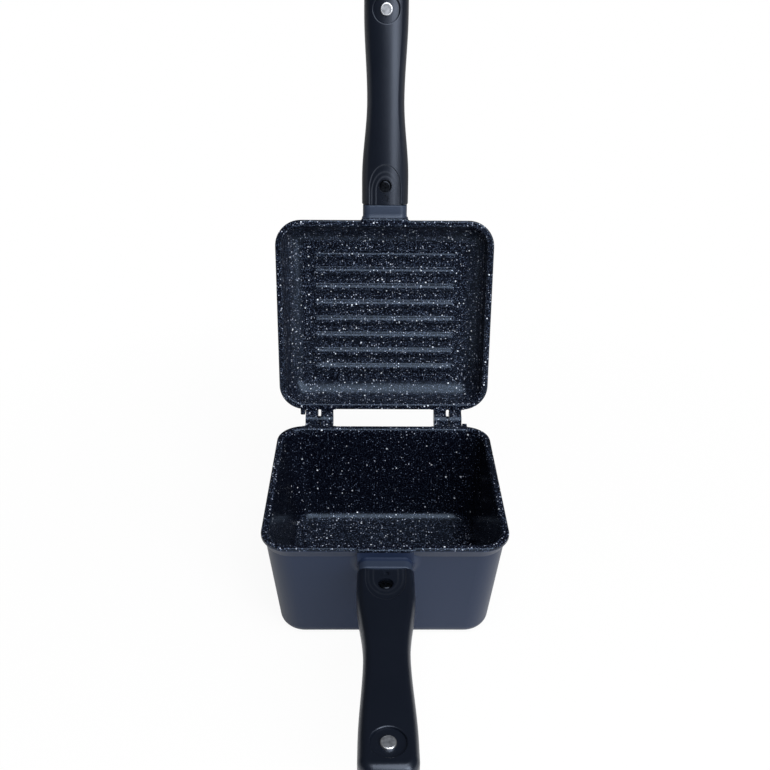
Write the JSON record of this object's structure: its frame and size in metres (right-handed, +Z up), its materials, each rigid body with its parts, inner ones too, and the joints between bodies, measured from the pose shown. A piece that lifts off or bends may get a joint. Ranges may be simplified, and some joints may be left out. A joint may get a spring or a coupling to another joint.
{
  "type": "double sided flip pan",
  "caption": "Deep rectangular cast flip pan with a shallow ribbed lid on a rear hinge, and a straight phenolic handle half with a disc magnet on each side.",
  "frame": {"origin": "centre of the base's flat foot", "axes": "+Z up out of the open base, -Y towards the base handle, +Y towards the hinge, X across the pan along the hinge pins"},
  "size_m": [0.176, 0.4214, 0.4253],
  "materials": {
    "pan_shell": "cast, matte slate paint outside, black speckled non-stick inside",
    "phenolic": "moulded, fine satin",
    "screw_steel": "blackened",
    "magnet": "nickel plated",
    "pin_steel": "painted over with the casting"
  },
  "bodies": {
    "base": {"base_pan": "pan_shell", "base_handle": "phenolic", "base_handle_screw": "screw_steel", "base_magnet": "magnet"},
    "lid": {"lid_pan": "pan_shell", "lid_handle": "phenolic", "lid_handle_screw": "screw_steel", "lid_magnet": "magnet", "left_hinge_pin": "pin_steel", "right_hinge_pin": "pin_steel"}
  },
  "joints": [
    {"name": "lid_hinge", "type": "hinge", "parent": "base", "child": "lid", "pos_m": [0, 0.0892, 0.09015], "axis": [1, 0, 0], "range_deg": [0, 100.5]}
  ]
}
